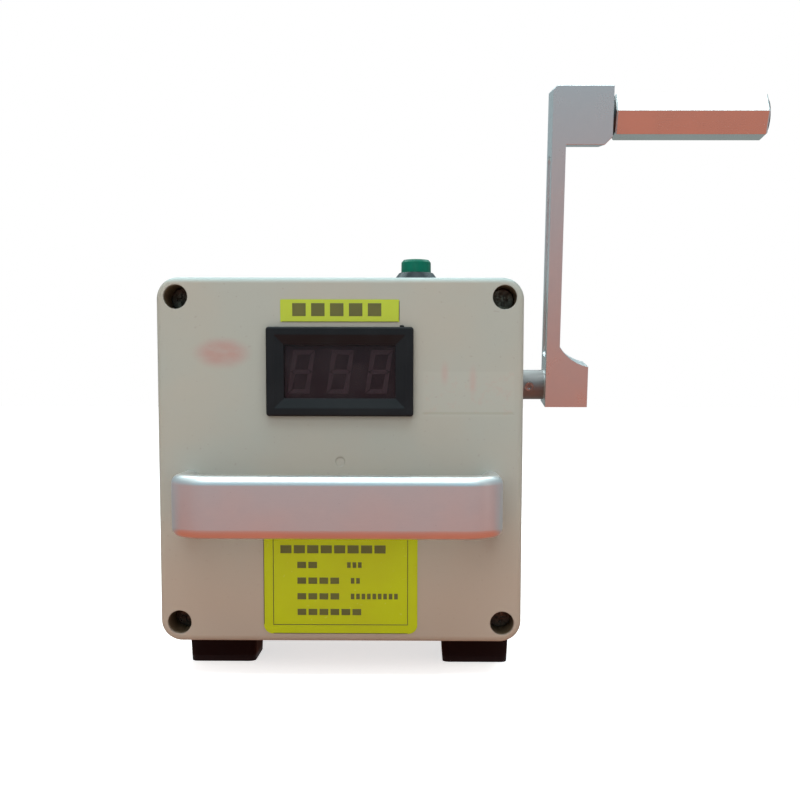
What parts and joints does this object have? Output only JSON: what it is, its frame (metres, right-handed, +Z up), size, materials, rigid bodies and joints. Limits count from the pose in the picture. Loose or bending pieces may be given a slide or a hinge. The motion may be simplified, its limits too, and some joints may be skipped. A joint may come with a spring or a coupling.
{
  "type": "hand crank generator",
  "caption": "Hand crank generator in a sealed plastic box with a carry handle, digital meter, push button, geared crank with hexagonal grip and rear output sockets.",
  "frame": {"origin": "on the standing plane, under the middle of the housing", "axes": "+Z up, +Y from the lid to the back, +X to the right, along the crank's shaft towards the crank"},
  "size_m": [0.2065, 0.12, 0.2016],
  "materials": {
    "abs_body": "fine matte moulded grey",
    "black_rubber": "matte",
    "satin_aluminium": "satin, machined",
    "zinc_steel": "zinc plated",
    "black_steel": "blackened",
    "black_plastic": "fine matte",
    "window_filter": "dark red, clear",
    "display_face": "dark",
    "display_bars": "unlit bars",
    "circuit_board": "green laminate",
    "yellow_label": "printed film",
    "green_plastic": "gloss",
    "red_plastic": "gloss",
    "brass": "turned",
    "plate_aluminium": "mill finish",
    "magnet_ferrite": "dark ferrite",
    "copper": "enamelled copper",
    "carbon": "carbon",
    "capacitor_sleeve": "shrink sleeve",
    "lead_insulation": "wire insulation"
  },
  "bodies": {
    "housing": {"base_shell": "abs_body", "board_terminal_block": "green_plastic", "bridge_rectifier": "black_plastic", "brushes": "carbon", "button_bezel": "black_plastic", "button_contact_block": "black_plastic", "button_nut": "zinc_steel", "button_spring": "zinc_steel", "carry_handle": "satin_aluminium", "control_board": "circuit_board", "display_module": "display_face", "display_segments": "display_bars", "end_bell": "black_plastic", "field_magnets": "magnet_ferrite", "foot_screws": "zinc_steel", "gearbox_wall_screws": "zinc_steel", "generator_can": "zinc_steel", "handle_screws": "zinc_steel", "handle_washers": "zinc_steel", "idler_pin": "zinc_steel", "inner_gear_plate": "plate_aluminium", "lid": "abs_body", "lid_gasket": "black_rubber", "lid_screws": "zinc_steel", "machine_screws": "zinc_steel", "meter_back": "black_plastic", "meter_board": "circuit_board", "meter_case": "black_plastic", "meter_clips": "zinc_steel", "meter_label": "yellow_label", "meter_window": "window_filter", "negative_socket": "black_plastic", "outer_gear_plate": "plate_aluminium", "plate_spacers": "zinc_steel", "positive_socket": "red_plastic", "rating_label": "yellow_label", "regulator_heat_sink": "satin_aluminium", "rubber_feet": "black_rubber", "shaft_bushes": "brass", "smoothing_capacitor": "capacitor_sleeve", "socket_contacts": "brass", "socket_nuts": "zinc_steel", "wiring": "lead_insulation"},
    "crank": {"crank_arm": "satin_aluminium", "crank_grub_screw": "black_steel", "grip_spindle": "zinc_steel", "grip_washer": "black_plastic", "input_shaft": "zinc_steel", "shaft_clip": "zinc_steel", "input_gear": "brass", "gear_pin": "zinc_steel"},
    "grip": {"crank_grip": "satin_aluminium", "grip_end_cap": "black_plastic"},
    "idler": {"idler_gear": "brass"},
    "rotor": {"rotor_pinion": "brass", "rotor_shaft": "zinc_steel", "armature_core": "magnet_ferrite", "armature_windings": "copper", "commutator": "copper"},
    "button": {"button_cap": "green_plastic"}
  },
  "joints": [
    {"name": "crank_spin", "type": "hinge", "parent": "housing", "child": "crank", "pos_m": [0.06, 0.005, 0.0978], "axis": [1, 0, 0], "continuous": true},
    {"name": "grip_spin", "type": "hinge", "parent": "crank", "child": "grip", "pos_m": [0.12, -0.00873, 0.19079], "axis": [1, 0, 0], "continuous": true},
    {"name": "idler_spin", "type": "hinge", "parent": "housing", "child": "idler", "pos_m": [0.045, 0.005, 0.0708], "axis": [1, 0, 0], "continuous": true},
    {"name": "rotor_spin", "type": "hinge", "parent": "housing", "child": "rotor", "pos_m": [0.03, 0.005, 0.0456], "axis": [1, 0, 0], "continuous": true},
    {"name": "button_press", "type": "slide", "parent": "housing", "child": "button", "axis": [0, 0, -1], "range_m": [0, 0.002], "stiffness_N_per_m": 800, "springref_m": -0.001, "deforming": ["button_spring"]}
  ],
  "couplings": [
    {"joint": "idler_spin", "follows": "crank_spin", "ratio": -4},
    {"joint": "rotor_spin", "follows": "crank_spin", "ratio": 20}
  ]
}
